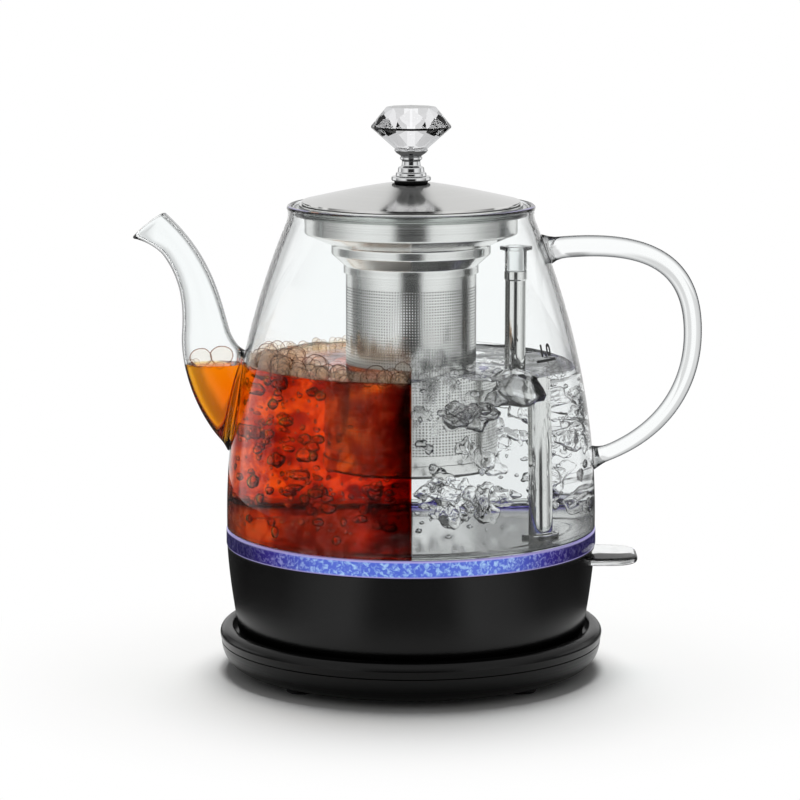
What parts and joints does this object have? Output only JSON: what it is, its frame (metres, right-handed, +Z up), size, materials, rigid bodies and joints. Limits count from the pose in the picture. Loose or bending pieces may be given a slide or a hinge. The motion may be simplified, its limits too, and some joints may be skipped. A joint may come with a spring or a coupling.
{
  "type": "gooseneck electric kettle",
  "caption": "Glass gooseneck kettle with a steel tea infuser, crystal lid knob, glowing ring and switch lever, lifting off a round cordless power base.",
  "frame": {"origin": "on the table, under the middle of the power base", "axes": "+Z up, spout towards -X, handle and switch lever towards +X, front towards -Y"},
  "size_m": [0.2208, 0.1496, 0.22],
  "materials": {
    "glass": "clear blown borosilicate",
    "crystal": "clear, facet cut and polished",
    "satin_steel": "spun and brushed",
    "mesh_steel": "fine perforated sheet",
    "bright_steel": "drawn, bright",
    "chrome": "polished plate",
    "clear_plastic": "clear moulded",
    "light_plastic": "clear moulded, glowing",
    "silicone": "translucent",
    "black_plastic": "satin",
    "base_plastic": "satin",
    "inner_plastic": "moulded",
    "black_rubber": "matt",
    "brass": "stamped",
    "aluminium": "cast",
    "element_steel": "heat darkened",
    "board": "printed board",
    "light": "clear lens"
  },
  "bodies": {
    "power_base": {"power_base_top": "base_plastic", "power_base_bottom": "base_plastic", "connector_socket": "inner_plastic", "cap_spring": "bright_steel", "contact_blades": "brass", "cord_gland": "black_rubber", "base_feet": "black_rubber", "base_screws": "bright_steel"},
    "connector_cap": {"connector_cap": "inner_plastic"},
    "kettle": {"glass_jug": "glass", "glass_spout": "glass", "glass_handle": "glass", "steam_tube": "bright_steel", "steam_tube_cap": "clear_plastic", "steam_tube_seal": "silicone", "steam_tube_nut": "bright_steel", "heater_plate": "satin_steel", "heat_spreader": "aluminium", "heating_element": "element_steel", "plate_seal": "silicone", "light_ring": "light_plastic", "light_board": "board", "board_lights": "light", "base_shell": "black_plastic", "bottom_cover": "inner_plastic", "cover_screws": "bright_steel", "control_unit": "inner_plastic", "control_studs": "bright_steel", "boil_dry_cutouts": "bright_steel", "connector_contacts": "brass", "switch_frame": "inner_plastic", "lever_pin": "bright_steel", "steam_bimetal": "brass", "toggle_spring": "bright_steel"},
    "switch": {"switch_lever": "clear_plastic", "switch_rocker": "inner_plastic"},
    "infuser": {"infuser_collar": "satin_steel", "infuser_basket": "mesh_steel", "infuser_floor": "satin_steel", "mouth_seal": "silicone"},
    "lid": {"lid_cover": "satin_steel", "knob_stem": "chrome", "knob_crystal": "crystal", "knob_gasket": "black_rubber", "knob_screw": "bright_steel"}
  },
  "joints": [
    {"name": "kettle_swivel", "type": "hinge", "parent": "power_base", "child": "connector_cap", "pos_m": [0, 0, 0.0195], "axis": [0, 0, 1], "continuous": true},
    {"name": "kettle_lift", "type": "slide", "parent": "connector_cap", "child": "kettle", "axis": [0, 0, 1], "range_m": [0, 0.08]},
    {"name": "infuser_lift", "type": "slide", "parent": "kettle", "child": "infuser", "axis": [0, 0, 1], "range_m": [0, 0.115]},
    {"name": "lid_lift", "type": "slide", "parent": "infuser", "child": "lid", "axis": [0, 0, 1], "range_m": [0, 0.05]},
    {"name": "switch_turn", "type": "hinge", "parent": "kettle", "child": "switch", "pos_m": [0.054, 0, 0.0445], "axis": [0, -1, 0], "range_deg": [0, 8]}
  ]
}
